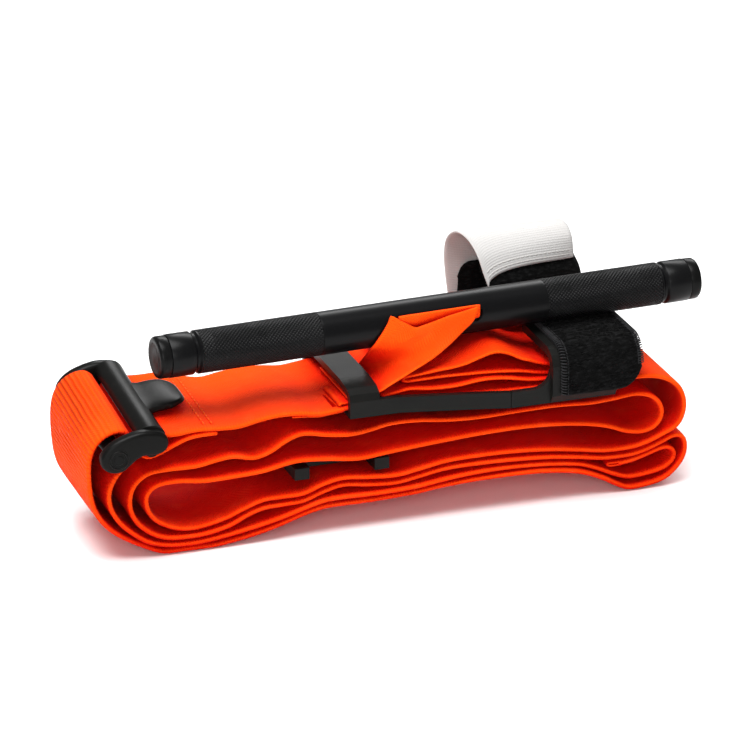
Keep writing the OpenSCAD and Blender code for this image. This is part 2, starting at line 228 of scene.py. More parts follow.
def plate_data(outline, low, high, axis, round_r, rows=4):
    """A flat plate between low and high along axis (1 is Y, 2 is Z), its rim rounded over."""
    outline = np.asarray(outline, float)
    tangent = unit(np.roll(outline, -1, 0) - np.roll(outline, 1, 0))
    area = np.sum(outline[:, 0] * np.roll(outline[:, 1], -1) - np.roll(outline[:, 0], -1) * outline[:, 1])
    inward = np.stack([-tangent[:, 1], tangent[:, 0]], 1) * math.copysign(1, area)
    levels = []
    for k in range(rows + 1):
        a = math.pi / 2 * k / rows
        levels.append((low + round_r * (1 - math.sin(a)), round_r * (1 - math.cos(a))))
    levels = levels[::-1]
    levels += [(high - (z - low), d) for z, d in levels[::-1]]
    m = len(outline)
    verts = []
    for z, d in levels:
        ring = outline + inward * d
        cols = [ring[:, 0], ring[:, 1]]
        cols.insert(axis, np.full(m, z))
        verts.append(np.stack(cols, 1))
    faces = []
    for k in range(len(levels) - 1):
        for i in range(m):
            j = (i + 1) % m
            faces.append((k * m + i, k * m + j, (k + 1) * m + j, (k + 1) * m + i))
    top = (len(levels) - 1) * m
    for base, flip in ((0, True), (top, False)):
        centre = verts[base // m].mean(0)
        verts.append(centre[None])
        hub = sum(len(v) for v in verts) - 1
        for i in range(m):
            j = (i + 1) % m
            faces.append((base + j, base + i, hub) if flip else (base + i, base + j, hub))
    return np.vstack(verts), faces, None, None


def apply_modifiers(obj):
    bpy.context.view_layer.update()
    graph = bpy.context.evaluated_depsgraph_get()
    me = bpy.data.meshes.new_from_object(obj.evaluated_get(graph))
    old = obj.data
    obj.modifiers.clear()
    obj.data = me
    bpy.data.meshes.remove(old)


def cut_with(obj, cutter_data):
    """Takes a solid away from obj."""
    v, f, _, _ = cutter_data
    me = bpy.data.meshes.new("cutter")
    me.from_pydata(to_frame(v).tolist(), [], f)
    bm = bmesh.new()
    bm.from_mesh(me)
    bmesh.ops.recalc_face_normals(bm, faces=bm.faces)
    bm.to_mesh(me)
    bm.free()
    cutter = bpy.data.objects.new("cutter", me)
    bpy.context.scene.collection.objects.link(cutter)
    mod = obj.modifiers.new("cut", "BOOLEAN")
    mod.operation, mod.solver, mod.object = "DIFFERENCE", "EXACT", cutter
    apply_modifiers(obj)
    bpy.data.objects.remove(cutter)
    bpy.data.meshes.remove(me)


# ---------------------------------------------------------------- materials
class Graph:
    """A small builder for one material's nodes."""

    def __init__(self, name):
        self.mat = bpy.data.materials.new(name)
        self.mat.use_nodes = True
        self.tree = self.mat.node_tree
        self.bsdf = self.tree.nodes["Principled BSDF"]

    def add(self, kind, **props):
        n = self.tree.nodes.new("ShaderNode" + kind)
        for key, value in props.items():
            setattr(n, key, value)
        return n

    def put(self, socket, value):
        if isinstance(value, bpy.types.NodeSocket):
            self.tree.links.new(value, socket)
        else:
            socket.default_value = value

    def math(self, op, a, b=0.0, clamp=False):
        n = self.add("Math", operation=op, use_clamp=clamp)
        self.put(n.inputs[0], a)
        self.put(n.inputs[1], b)
        return n.outputs[0]

    def mix(self, fac, a, b):
        n = self.add("Mix", data_type="RGBA")
        self.put(n.inputs[0], fac)
        self.put(n.inputs[6], (*a, 1) if isinstance(a, tuple) else a)
        self.put(n.inputs[7], (*b, 1) if isinstance(b, tuple) else b)
        return n.outputs[2]

    def ramp(self, value, lo, hi):
        n = self.add("MapRange")
        n.clamp = True
        self.put(n.inputs[0], value)
        n.inputs[1].default_value, n.inputs[2].default_value = lo, hi
        return n.outputs[0]

    def strap(self):
        """Millimetres along and across a strap."""
        n = self.add("UVMap", uv_map="strap")
        s = self.add("SeparateXYZ")
        self.put(s.inputs[0], n.outputs[0])
        along, across = (self.math("MULTIPLY", s.outputs[k], 1 / MM) for k in (0, 1))
        return along, across

    def wave(self, x, period):
        s = self.math("SINE", self.math("MULTIPLY", x, 2 * math.pi / period))
        return self.math("ADD", self.math("MULTIPLY", s, 0.5), 0.5)

    def noise(self, scale, detail=3.0, stretch=(1, 1, 1), rough=0.55):
        c = self.add("TexCoord")
        m = self.add("Mapping")
        m.inputs["Scale"].default_value = stretch
        self.put(m.inputs[0], c.outputs["Object"])
        n = self.add("TexNoise")
        self.put(n.inputs["Vector"], m.outputs[0])
        n.inputs["Scale"].default_value = scale
        n.inputs["Detail"].default_value = detail
        n.inputs["Roughness"].default_value = rough
        return n.outputs["Fac"]

    def shade(self, colour, rough, height=None, depth=0.0001, strength=1.0, **fixed):
        self.put(self.bsdf.inputs["Base Color"], (*colour, 1) if isinstance(colour, tuple) else colour)
        self.put(self.bsdf.inputs["Roughness"], rough)
        if height is not None:
            b = self.add("Bump")
            b.inputs["Strength"].default_value = strength
            b.inputs["Distance"].default_value = depth
            self.put(b.inputs["Height"], height)
            self.put(self.bsdf.inputs["Normal"], b.outputs[0])
        for key, value in fixed.items():
            self.bsdf.inputs[key.replace("_", " ")].default_value = value
        return self.mat


def woven(name, lit, shade_red, twill, yarn, selvedge, relief):
    """Orange webbing: herringbone twill, ribbed selvedges and, where marked, wide cross ribs; shade is
    painted into its colour as a darker red in occluded hollows, in the rib grooves and in the weave's low
    yarns.
    """
    g = Graph(name)
    u, v = g.strap()
    # Stripes along the strap in which the twill leans one way, then the other.
    stripe, shift = 9.0, 400.0
    band = g.math("GREATER_THAN", g.math("FRACT", g.math("DIVIDE", g.math("ADD", v, shift), stripe)), 0.5)
    up, down = g.math("ADD", u, v), g.math("SUBTRACT", u, v)
    slant = g.math("ADD", g.math("MULTIPLY", up, band),
                   g.math("MULTIPLY", down, g.math("SUBTRACT", 1.0, band)))
    weave = g.math("ADD", g.math("MULTIPLY", g.wave(slant, twill), 0.65),
                   g.math("MULTIPLY", g.wave(v, yarn), 0.35))
    edge = g.math("GREATER_THAN", g.math("ABSOLUTE", v), selvedge)
    side = g.math("ADD", g.math("MULTIPLY", g.wave(u, yarn * 1.3), 0.5), 0.25)
    weave = g.math("ADD", g.math("MULTIPLY", weave, g.math("SUBTRACT", 1.0, edge)),
                   g.math("MULTIPLY", side, edge))
    rib = g.add("Attribute", attribute_name="rib").outputs["Fac"]
    soft = g.noise(90.0, 2.0)
    ridge = g.wave(g.math("ADD", u, g.math("MULTIPLY", soft, 0.5)), 1.45)
    ribs = g.math("MULTIPLY", g.math("MULTIPLY", ridge, rib), 4.5)
    height = g.math("ADD", weave, ribs)
    fuzz = g.noise(2600.0, 2.0)
    height = g.math("ADD", height, g.math("MULTIPLY", fuzz, 0.35))
    # Painted shade: ambient occlusion pulls the colour towards the shaded red in hollows, folds and between
    # plies.
    ao = g.add("AmbientOcclusion", samples=6)
    ao.inputs["Distance"].default_value = 0.026
    ao_shade_mask = g.ramp(ao.outputs["AO"], 0.40, 0.97)
    tone = g.mix(ao_shade_mask, shade_red, lit)
    # Painted shade in the grooves between the cross ribs.
    groove_shade_mask = g.math("MULTIPLY", g.math("SUBTRACT", 1.0, ridge), rib)
    tone = g.mix(g.math("MULTIPLY", groove_shade_mask, 0.45), tone, shade_red)
    # Painted shade in the weave's low yarns.
    tone = g.mix(g.math("MULTIPLY", g.math("SUBTRACT", 1.0, weave), 0.32), tone, shade_red)
    wear = g.math("MULTIPLY", g.ramp(g.noise(160.0, 4.0), 0.52, 0.78), 0.16)
    tone = g.mix(wear, tone, tuple(min(1.0, c * 1.15 + 0.02) for c in lit))
    rough = g.math("ADD", 0.72, g.math("MULTIPLY", weave, 0.16))
    return g.shade(tone, rough, height, relief, 0.9, Specular_IOR_Level=0.07)


def plastic(name, base, gloss, grain=1.0):
    """Moulded black nylon: fine spark grain, soft cloudy gloss, paler on sharp convex edges."""
    g = Graph(name)
    cloud = g.noise(70.0, 4.0)
    spark = g.noise(3800.0, 2.0)
    rough = g.math("ADD", gloss, g.math("MULTIPLY", g.math("SUBTRACT", cloud, 0.5), 0.22))
    tone = g.mix(g.math("MULTIPLY", g.ramp(g.noise(420.0, 5.0), 0.55, 0.8), 0.5), base,
                 tuple(c * 1.8 for c in base))
    edge = g.ramp(g.add("NewGeometry").outputs["Pointiness"], 0.53, 0.62)
    tone = g.mix(g.math("MULTIPLY", edge, 0.5), tone, tuple(c * 3.0 for c in base))
    height = g.math("ADD", spark, g.math("MULTIPLY", cloud, 2.0))
    return g.shade(tone, rough, height, 0.00003 * grain, 0.55, Specular_IOR_Level=0.09)


def pile(name, base, tip):
    """Loop pile: rows of short loops with paler tips, matt, with a soft sheen."""
    g = Graph(name)
    c = g.add("TexCoord")
    m = g.add("Mapping")
    m.inputs["Scale"].default_value = (0.45, 1.0, 1.0)
    g.put(m.inputs[0], c.outputs["Object"])
    vor = g.add("TexVoronoi", feature="SMOOTH_F1")
    g.put(vor.inputs["Vector"], m.outputs[0])
    vor.inputs["Scale"].default_value = 1250.0
    loops = g.math("SUBTRACT", 1.0, vor.outputs["Distance"])
    fine = g.noise(3000.0, 3.0, (0.4, 1, 1))
    height = g.math("ADD", loops, g.math("MULTIPLY", fine, 0.8))
    tall = g.math("ADD", g.math("MULTIPLY", loops, 0.6), g.math("MULTIPLY", fine, 0.6))
    tone = g.mix(g.ramp(tall, 0.62, 1.0), base, tip)
    return g.shade(tone, 0.92, height, 0.0003, 0.9, Sheen_Weight=0.02, Sheen_Roughness=0.6,
                   Specular_IOR_Level=0.06)


def thread(name, base, light):
    """Twisted sewing thread."""
    g = Graph(name)
    twist = g.noise(5200.0, 2.0)
    return g.shade(g.mix(twist, base, light), g.math("ADD", 0.45, g.math("MULTIPLY", twist, 0.3)), twist,
                   0.00008, 0.8, Specular_IOR_Level=0.12)


def tape(name):
    """Off-white woven tape: fine rows along it and finer yarns across."""
    g = Graph(name)
    u, v = g.strap()
    soft = g.noise(120.0, 3.0)
    rows = g.wave(g.math("ADD", u, g.math("MULTIPLY", soft, 0.25)), 0.72)
    yarns = g.wave(v, 0.5)
    height = g.math("ADD", g.math("MULTIPLY", rows, 0.6), g.math("MULTIPLY", yarns, 0.4))
    # Painted shade: the low parts of the weave are darker.
    low = g.math("MULTIPLY", g.math("SUBTRACT", 1.0, height), 0.35)
    tone = g.mix(low, (0.54, 0.53, 0.52), (0.36, 0.34, 0.325))
    stain = g.math("MULTIPLY", g.ramp(g.noise(45.0, 4.0), 0.5, 0.75), 0.12)
    tone = g.mix(stain, tone, (0.42, 0.38, 0.34))
    return g.shade(tone, g.math("ADD", 0.7, g.math("MULTIPLY", rows, 0.12)), height, 0.00012, 0.7,
                   Specular_IOR_Level=0.12)


def anodised(name):
    """Black anodised aluminium, satin, with faint turning lines, paler on sharp edges and knurl points."""
    g = Graph(name)
    cloud = g.noise(60.0, 4.0)
    turn = g.noise(900.0, 2.0, (6.0, 0.3, 0.3))
    edge = g.ramp(g.add("NewGeometry").outputs["Pointiness"], 0.54, 0.66)
    tone = g.mix(g.math("MULTIPLY", edge, 0.55), (0.0035, 0.0035, 0.0038), (0.018, 0.018, 0.018))
    rough = g.math("ADD", 0.24, g.math("MULTIPLY", cloud, 0.14))
    return g.shade(tone, rough, g.math("ADD", turn, g.math("MULTIPLY", cloud, 0.6)), 0.00002, 0.5,
                   Specular_IOR_Level=0.11)


# LIT is the webbing's colour where light falls; the second colour is a darker red that paints shade into
# hollows, folds and grooves.
LIT, SHADE_RED = (1.0, 0.082, 0.001), (0.66, 0.003, 0.0)
webbing = woven("webbing_orange", LIT, SHADE_RED, 1.15, 0.62, 16.9, 0.00022)
ribbon_cloth = woven("ribbon_orange", (1.0, 0.092, 0.002), SHADE_RED, 0.85, 0.5, 11.2, 0.00015)
plastic_black = plastic("plastic_black", (0.0038, 0.0038, 0.0035), 0.33)
cap_black = plastic("rod_cap_black", (0.0038, 0.0038, 0.0038), 0.3, 0.6)
pile_black = pile("pile_black", (0.001, 0.001, 0.001), (0.010, 0.010, 0.0105))
hook_black = pile("hook_black", (0.0015, 0.0015, 0.0015), (0.013, 0.013, 0.013))
thread_black = thread("thread_black", (0.004, 0.004, 0.0045), (0.040, 0.040, 0.042))
thread_orange = thread("thread_orange", (0.75, 0.03, 0.0), (1.0, 0.14, 0.01))
thread_white = thread("thread_white", (0.36, 0.34, 0.32), (0.54, 0.53, 0.51))
tape_white = tape("tape_white")
rod_black = anodised("rod_black")

# ---------------------------------------------------------------- the band
BAND_W, BAND_T = 38.0, 1.4
BAND_PATH = [
    [-54, 35.2], [-58, 35.4], [-62, 35.1], [-66, 33.7], [-70, 31.9], [-73.5, 30.8], [-75.8, 31.7],
    [-76.7, 34], [-75.8, 36.3], [-73.5, 37.2], [-66, 36.7],
    [-60, 37.2], [-53, 36.6], [-47, 36.3], [-41, 37.4], [-35, 38], [-29, 37.8], [-23, 37], [-18, 37.4],
    [-12, 38], [-4, 38.2], [8, 37.6], [20, 36.7], [34, 36], [50, 35.6], [66, 35.6], [76, 35.3],
    [82, 34], [86.4, 31.2], [88.6, 27], [88.6, 22.4], [86.6, 18.6],
    [82, 16.2], [77, 14.2], [72, 13.2], [64, 13.2], [56, 14.6], [46, 16.1], [36, 16.8], [25, 17],
    [15, 16.8], [7, 15.6], [0, 14.6], [-8, 15], [-16, 15.8], [-22, 14.8], [-28, 12.8], [-34, 12.6],
    [-40, 12.4], [-46, 10.4], [-51, 8.4], [-57, 7.1],
    [-62, 6.8], [-67, 7.9], [-72, 10.8], [-74.6, 14.6], [-74.9, 19], [-72, 22],
    [-66, 22.6], [-58, 21.6], [-49, 21.7], [-40, 22.1], [-31, 23.5], [-22, 23], [-12, 21.8], [-3, 22.4],
    [12, 23.4], [26, 24.4], [38, 24.6], [50, 23.8], [60, 22.4], [66, 20.8],
    [71, 18.8], [76, 17.9], [80, 19], [82, 22], [81.4, 25.6], [78.4, 28.4], [73.6, 29.6],
    [68, 29.2], [60, 28.8], [50, 29.3], [36, 29.3], [25, 29.3], [15, 29.9], [6, 30.9], [-2, 31],
    [-8, 30], [-14, 29.4], [-21, 30.2], [-28, 31.4], [-33, 30], [-38, 27.2], [-43, 26], [-49, 27.4],
    [-54, 27.2], [-60, 26.4], [-68, 26.6], [-74, 26.2],
    [-77.7, 23.8], [-79.5, 20.4], [-79.7, 16], [-77.9, 11.6], [-74, 7.8], [-69, 5.4],
    [-62, 4.7], [-56, 5], [-50, 6.4], [-45, 8.7], [-40, 10.2], [-34, 10.4], [-28, 10.6], [-22, 12.5],
    [-16, 13.7], [-8, 12.8], [0, 12.4], [7, 13.4], [15, 14.6], [25, 14.8], [36, 14.6], [46, 13.9],
    [56, 12.4], [64, 11], [72, 11], [77, 12],
    [82, 13.8], [86, 15.3], [88.7, 14.5], [89.7, 11.6], [89, 8], [86.6, 4.7], [83, 2.2], [78, 1.02],
    [72, 0.78], [68, 2.4], [63, 5.3], [56, 8], [46, 9.6], [36, 10.2], [25, 10.1], [15, 9.4], [7, 8.5],
    [0, 8.2], [-8, 8], [-16, 8], [-22, 7.8], [-28, 6.5], [-35, 4.4], [-41, 2.9], [-48, 1.6],
    [-54, 0.8], [-57, 0.7], [-59, 0.7], [-62, 0.7], [-65, 0.7], [-67, 0.7], [-69.5, 0.78], [-72, 1.5],
    [-75, 2.9], [-80, 5.7], [-84.6, 9], [-88, 12.8], [-90.3, 17.6], [-91.3, 24], [-91.3, 31],
    [-89.8, 36], [-86.6, 39.2], [-82.4, 40.3], [-79.7, 38.6],
    [-79.2, 34.4], [-80.4, 30.2], [-83.6, 26.4], [-85.6, 22], [-85.4, 17], [-83, 12.2], [-79.2, 8.3],
    [-74.6, 5], [-69, 3.2],
    [-62, 2.65], [-56, 2.95], [-48, 4], [-41, 5.3], [-35, 6.6], [-28, 8.5], [-22, 9.9], [-16, 10.2],
    [-8, 10.1], [0, 10.3], [7, 10.7], [15, 11.6], [25, 12.3], [36, 12.4], [46, 11.7], [56, 10.1],
    [62, 7.9], [67, 5.6], [72, 3.9], [78, 4.2],
    [83, 5.3], [85.7, 7.2], [86.3, 9.6], [84.6, 11.3], [82, 11.4], [77, 9.9], [73, 8.9], [69, 8.5],
]
BUCKLE_TILT = 0.09
TILT_ABOUT_Y = -12.0


def tilt(p):
    """The buckle and the webbing round it lean, far side up, and the lean fades out along the pack."""
    p = np.array(p, float)
    w = ease(p[..., 2], 12, 34) * ease(-p[..., 0], 44, 68)
    p[..., 2] += BUCKLE_TILT * (p[..., 1] - TILT_ABOUT_Y) * w
    return p


def strip_grid(path, width, step, columns, sway=None, curl=0.0):
    """Grid over a strip whose centreline is drawn in X and Z and whose width lies along Y."""
    c = spline(path, 8)
    c = resample(c, max(8, int(arc(c)[-1] / step)))
    s = arc(c)
    t = unit(np.gradient(c, axis=0))
    n = np.stack([-t[:, 1], t[:, 0]], 1)
    v = columns
    y = v[None, :] * width / 2 + (sway(s, c) if sway else 0.0 * s)[:, None]
    bend = curl * np.abs(v[None, :]) ** 4 + np.zeros_like(y)
    x = c[:, :1] + n[:, :1] * bend
    z = c[:, 1:] + n[:, 1:] * bend
    return np.stack([x + 0 * y, y, z + 0 * y], 2), s, c


COLUMNS = np.array([-1, -0.975, -0.93, -0.86, -0.75, -0.6, -0.45, -0.3, -0.15, 0,
                    0.15, 0.3, 0.45, 0.6, 0.75, 0.86, 0.93, 0.975, 1])


def sway(s, c):
    """Layers don't lie quite edge on edge, except on the plate between its rims."""
    free = 1 - ease(c[:, 1], 31, 34) * ease(c[:, 0], -30, -22)
    return free * (0.45 * np.sin(s / 41.0 + 0.6) + 0.3 * np.sin(s / 17.0))


grid, s, c = strip_grid(BAND_PATH, BAND_W, 1.25, COLUMNS, sway, -0.10)
waver = 0.10 * np.sin(s / 6.3)[:, None] * np.abs(COLUMNS[None, :]) ** 3 * np.sign(COLUMNS[None, :])
grid[:, :, 2] += waver * ease(grid[:, :, 2], 2.0, 6.0)
grid = tilt(grid)
# Where the webbing round the pin shows its cross ribs, less so towards the near side.
outer = (ease(-grid[:, :, 0], 78, 88) * ease(grid[:, :, 2], 17, 31)
         * (0.35 + 0.65 * ease(grid[:, :, 1], -18, 0)))
band = sheet_data(grid, BAND_T, outer)
# Folded ply edge beside the slit, running under the bridge.
hem_path = [[-16.7, 38.35], [-17.3, 38.6], [-16.9, 38.95], [-15.6, 38.95], [-13, 38.9], [-9, 38.9]]
hem_grid, _, _ = strip_grid(hem_path, 13.4, 0.6, COLUMNS)
hem_grid[:, :, 1] -= 11.9
band_all = merge([band, sheet_data(hem_grid, 0.7)])
webbing_band = mesh_object("webbing_band", band_all[0], band_all[1], webbing,
                           band_all[2], band_all[3])
# Slit: a wedge, open at its near end and closing to a line.
slit_ends = ((-18.3, -17.6, 0.65), (-18.5, -8.5, 0.2))
slit = (np.array([[x + side * half, y, z] for side in (-1, 1) for x, y, half in slit_ends
                  for z in (34.0, 39.1)]),
        [(0, 1, 3, 2), (4, 6, 7, 5), (0, 4, 5, 1), (2, 3, 7, 6), (0, 2, 6, 4), (1, 5, 7, 3)], None, None)
cut_with(webbing_band, slit)
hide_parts("band_webbing")
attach(webbing_band, "band")

# Doubled tip of the band, turned over on itself and sewn.
tip_path = [[69.6, 8.15], [67.5, 8.1], [65.7, 8.2], [65.3, 8.6], [65.7, 9.0], [67.5, 8.95], [69.6, 9.1]]
tip_grid, _, _ = strip_grid(tip_path, BAND_W - 1, 0.5, COLUMNS)
tip = sheet_data(tip_grid, 0.7)
tip_hem = mesh_object("tip_hem", tip[0], tip[1], webbing, tip[2])
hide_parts("band_tip_hem")
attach(tip_hem, "band")

# Two rows of thread that close the loop round the anchor bar.
rows = []
for x in (-57.0, -54.6):
    z = float(np.interp(x, [-60, -53], [37.2, 36.6])) + BAND_T / 2
    line = tilt([[x, y, z] for y in np.linspace(-16.5, 16.5, 60)])
    rows.append(stitch_row(line, 2.2, 1.8, 0.26, (0, 0, 0.16)))
rows = merge(rows)
end_stitches = mesh_object("end_loop_thread", rows[0], rows[1], thread_orange)
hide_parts("end_loop_stitches")
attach(end_stitches, "band")

# Sleeve plies gathered on the plate.
upper_fold = [[66, 38.9], [56, 39.0], [46, 39.4], [38, 40.9], [30, 41.7], [22, 42.1], [14, 42.3],
              [6, 42.2], [3.4, 42.3], [2.6, 42.9], [3.6, 43.6], [9, 44.0], [15, 44.8], [21, 46.1],
              [26, 47.6], [30.5, 48.5],
              [34.5, 47.6], [39, 45.2], [45, 42.4], [54, 40.9], [66, 40.6]]


def ply(name, path, width, thick, y_mid, warp, node):
    g, _, _ = strip_grid(path, width, 0.9, COLUMNS)
    g[:, :, 1] += y_mid
    g[:, :, 2] += warp(g)
    data = sheet_data(g, thick)
    obj = mesh_object(name, data[0], data[1], webbing, data[2])
    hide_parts(node)
    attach(obj, "band")
    return obj


def upper_warp(g):
    x, y = g[:, :, 0], g[:, :, 1]
    fall = ease(g[:, :, 2], 43.2, 45.5)
    return fall * (-0.9 * ease(-y, 8, 17) * ease(x, 12, 24) + 0.25 * np.sin(y / 4.1 + x / 7))


def lower_warp(g):
    x, y = g[:, :, 0], g[:, :, 1]
    wave = 0.35 * np.sin(x / 4.6 + 1.0) * ease(-y, 4, 18) * ease(x, -1, 4) * (1 - ease(x, 38, 46))
    return wave + 1.5 * ease(y, 2, 14) * (1 - ease(x, -3, 4))


ply("upper_sleeve", upper_fold, 33.0, 0.95, 0.0, upper_warp, "upper_sleeve_ply")
lower_line = [[-4.2, 39.5], [4, 40.0], [10, 39.6], [18, 39.7], [26, 40.1], [34, 39.4], [42, 38.3],
              [50, 37.6], [58, 37.2], [66, 37.2]]
ply("lower_sleeve", lower_line, 36.0, 0.9, 0.0, lower_warp, "lower_sleeve_ply")

# ---------------------------------------------------------------- the windlass rod
ROD_AT = np.array([15.0, -4.8, 56.3])
ROD_YAW = math.radians(2.9)
ROD_R = 6.25


def from_rod(p):
    """Rod frame, X along the rod, to the drawing."""
    p = np.asarray(p, float)
    c, s = math.cos(ROD_YAW), math.sin(ROD_YAW)
    return np.stack([p[..., 0] * c - p[..., 1] * s, p[..., 0] * s + p[..., 1] * c, p[..., 2]], -1) + ROD_AT


def turned(profile, around, rough=None):
    """A turned shape from (x, r) pairs; rough(x, angle) adds to the radius."""
    x = np.array([p[0] for p in profile])[:, None]
    r = np.array([p[1] for p in profile])[:, None]
    a = np.linspace(0, 2 * math.pi, around, endpoint=False)[None, :]
    rr = r + (rough(x, a) if rough else 0.0)
    p = np.stack([x + 0 * a, rr * np.cos(a), rr * np.sin(a)], 2)
    m = len(profile)
    faces = []
    for i in range(m - 1):
        for j in range(around):
            k = (j + 1) % around
            faces.append((i * around + j, i * around + k, (i + 1) * around + k, (i + 1) * around + j))
    return p.reshape(-1, 3), faces


def knurl(x, a):
    """Diamond knurl: two sets of helical grooves, raised points between them."""
    around, pitch = 34, 2 * math.pi * ROD_R / 34
    p = np.abs(((a * around / (2 * math.pi) + x / pitch) % 1.0) - 0.5) * 2
    q = np.abs(((a * around / (2 * math.pi) - x / pitch) % 1.0) - 0.5) * 2
    groove_shade_mask = np.minimum(ease(p, 0.0, 0.55), ease(q, 0.0, 0.55))
    return -0.26 * (1 - groove_shade_mask) + 0.02


KNURL_FROM, KNURL_TO = 35.0, 71.2
KNURL_ROWS, KNURL_AROUND, PLAIN_AROUND, MIDDLE_AROUND = 190, 204, 96, 128
parts = []
for sign in (-1, 1):
    grip = [(sign * x, ROD_R) for x in np.linspace(KNURL_FROM, KNURL_TO, KNURL_ROWS)]
    v, f = turned(grip, KNURL_AROUND, knurl)
    parts.append((from_rod(v), f, None, None))
    collar = [(KNURL_TO, ROD_R - 0.28), (KNURL_TO + 0.12, ROD_R - 0.05), (KNURL_TO + 0.3, ROD_R),
              (71.7, ROD_R), (71.75, ROD_R - 0.1), (72.3, ROD_R - 0.6), (72.9, ROD_R - 0.6),
              (73.45, ROD_R - 0.1), (73.6, ROD_R), (80.2, ROD_R), (80.45, ROD_R - 0.12),
              (80.5, ROD_R - 0.5), (80.5, 3.4)]
    v, f = turned([(sign * x, r) for x, r in collar], PLAIN_AROUND)
    parts.append((from_rod(v), f, None, None))
rod = merge(parts)
rod_ends = mesh_object("windlass_rod_grips", rod[0], rod[1], rod_black, sharp=40)
middle = [(-KNURL_FROM - 0.02, ROD_R - 0.3), (-KNURL_FROM + 0.1, ROD_R)]
middle += [(x, ROD_R) for x in np.linspace(-KNURL_FROM + 0.6, KNURL_FROM - 0.6, 29)]
middle += [(KNURL_FROM - 0.1, ROD_R), (KNURL_FROM + 0.02, ROD_R - 0.3)]
v, f = turned(middle, MIDDLE_AROUND)
n, m = len(v), MIDDLE_AROUND
v = np.vstack([v, [[-KNURL_FROM - 0.02, 0, 0], [KNURL_FROM + 0.02, 0, 0]]])
f += [(j, (j + 1) % m, n) for j in range(m)]
f += [(n - m + (j + 1) % m, n - m + j, n + 1) for j in range(m)]
rod_middle = mesh_object("windlass_rod_middle", from_rod(v), f, rod_black)
SLOT_L, SLOT_H = 28.0, 5.0
ends = [(sx * (SLOT_L - SLOT_H) / 2 + SLOT_H / 2 * math.cos(t), SLOT_H / 2 * math.sin(t))
        for sx, t0 in ((1, -90), (-1, 90)) for t in np.radians(np.arange(t0, t0 + 181, 15))]
rings = [[(x, y, z) for x, z in ends] for y in (-9.0, 9.0)]
m = len(ends)
SLOT_ROLL = math.radians(15)


def rolled(p):
    """Turns points in the rod's frame about the rod, near side up."""
    p = np.asarray(p, float)
    c, s = math.cos(SLOT_ROLL), math.sin(SLOT_ROLL)
    return np.stack([p[..., 0], p[..., 1] * c + p[..., 2] * s, p[..., 2] * c - p[..., 1] * s], -1)


slot_cut = (from_rod(rolled(rings[0] + rings[1])),
            [(i, (i + 1) % m, m + (i + 1) % m, m + i) for i in range(m)]
            + [tuple(range(m)), tuple(range(2 * m - 1, m - 1, -1))], None, None)
cut_with(rod_middle, slot_cut)
bev = rod_middle.modifiers.new("lip", "BEVEL")
bev.width, bev.segments, bev.limit_method, bev.angle_limit = 0.0004, 3, "ANGLE", math.radians(38)
apply_modifiers(rod_middle)
rod_middle.data.shade_smooth()
rod_middle.data.set_sharp_from_angle(angle=math.radians(50))
for o in (rod_ends, rod_middle):
    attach(o, "windlass")
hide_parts("windlass_rod")
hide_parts("windlass_rod")

for side, node in ((-1, "rod_cap_left"), (1, "rod_cap_right")):
    prof = [(80.52, 5.6), (80.56, 5.95), (80.8, 6.1), (83.0, 6.1), (83.45, 5.98), (83.8, 5.7), (84.0, 5.2),
            (84.0, 4.4), (83.9, 4.1), (83.82, 2.0), (83.8, 0.01)]
    v, f = turned([(side * x, r) for x, r in prof], PLAIN_AROUND)
    cap = mesh_object(node + "_turned", from_rod(v), f, cap_black, sharp=60)
    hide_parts(node)
    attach(cap, "windlass")

# ---------------------------------------------------------------- the ribbon
RIBBON_T = 0.8


def ruled(edge_a, edge_b, rows, cols, bulge=None):
    """Grid between two edge curves; bulge(t, w) moves it, t along the edges and w across."""
    a = resample(spline(edge_a, 8), rows)
    b = resample(spline(edge_b, 8), rows)
    t = np.linspace(0, 1, rows)[:, None, None]
    w = np.linspace(0, 1, cols)[None, :, None]
    g = a[:, None, :] * (1 - w) + b[:, None, :] * w
    return g + bulge(t, w) if bulge else g


near_edge = [[-14.5, -17.6, 40.2], [-10, -18.3, 40.4], [-6, -19.2, 41.2], [-1.0, -18.6, 43.3],
             [5.6, -17.4, 45.9], [12.0, -15.9, 48.2], [17.6, -14.2, 51.0], [22.2, -13.0, 54.2],
             [25.6, -12.5, 57.0], [27.0, -12.4, 60.6]]
far_edge = [[-14.5, 6.4, 40.2], [-10, 5.6, 40.4], [-5.2, 2.6, 41.0], [-4.6, -1.2, 44.0], [-4.8, -6.0, 47.6],
            [-5.0, -10.9, 51.4], [-4.2, -12.2, 53.2], [-3.0, -12.7, 55.2], [-1.6, -12.7, 57.2],
            [-0.3, -12.6, 59.4], [0.4, -12.5, 61.2]]


def near_bulge(t, w):
    """Bows the near side out over the rod and notches its top edge where it folds."""
    out = np.zeros((t.shape[0], w.shape[1], 3))
    hump = (np.sin(math.pi * w) * ease(t, 0.25, 0.7))[:, :, 0]
    out[:, :, 1] -= 1.0 * hump
    w = w[0, :, 0]
    dip = sum(np.interp(w + d, [0, 0.36, 0.74, 1], [0, 1.5, 4.1, 0]) for d in (-0.02, 0, 0.02)) / 3
    dip = dip[None, :] * ease(t, 0.72, 1.0)[:, :, 0]
    out[:, :, 2] -= dip
    out[:, :, 1] -= 0.12 * dip
    return out


NEAR_ROWS, NEAR_COLS = 64, 34
near = sheet_data(ruled(near_edge, far_edge, NEAR_ROWS, NEAR_COLS, near_bulge), RIBBON_T)
